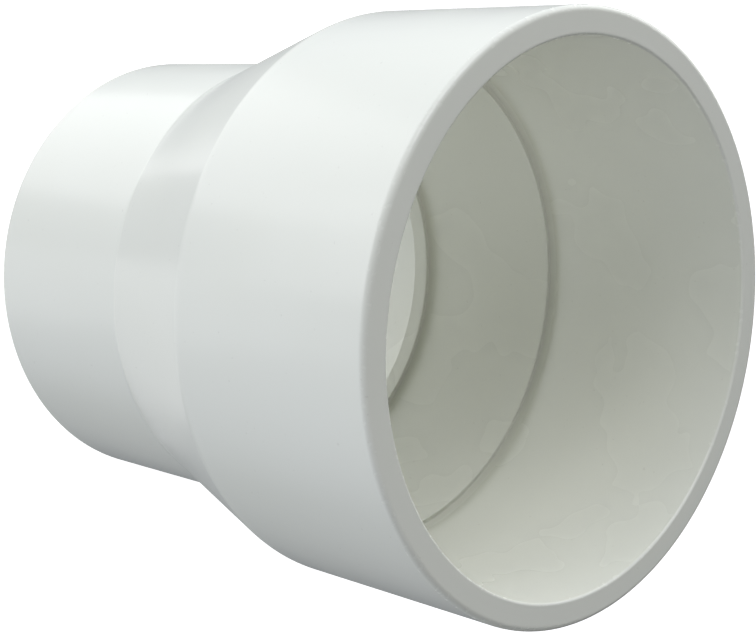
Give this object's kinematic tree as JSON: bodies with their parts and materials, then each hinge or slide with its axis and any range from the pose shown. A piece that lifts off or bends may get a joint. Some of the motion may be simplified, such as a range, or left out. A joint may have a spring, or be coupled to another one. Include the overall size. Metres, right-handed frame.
{
  "type": "concentric reducer",
  "caption": "White plastic pipe reducer: a wide plain socket, a short cone and a narrower plain socket on one axis, open from end to end, with a pipe stop in each socket.",
  "frame": {"origin": "centre of the small end face, which the part stands on", "axes": "+Z along the pipe axis, from the small socket to the large socket; the part is round, so X and Y are free"},
  "size_m": [0.1218, 0.1218, 0.1291],
  "materials": {
    "white_pvc": "gloss"
  },
  "bodies": {
    "root": {"reducer_body": "white_pvc"}
  },
  "joints": []
}
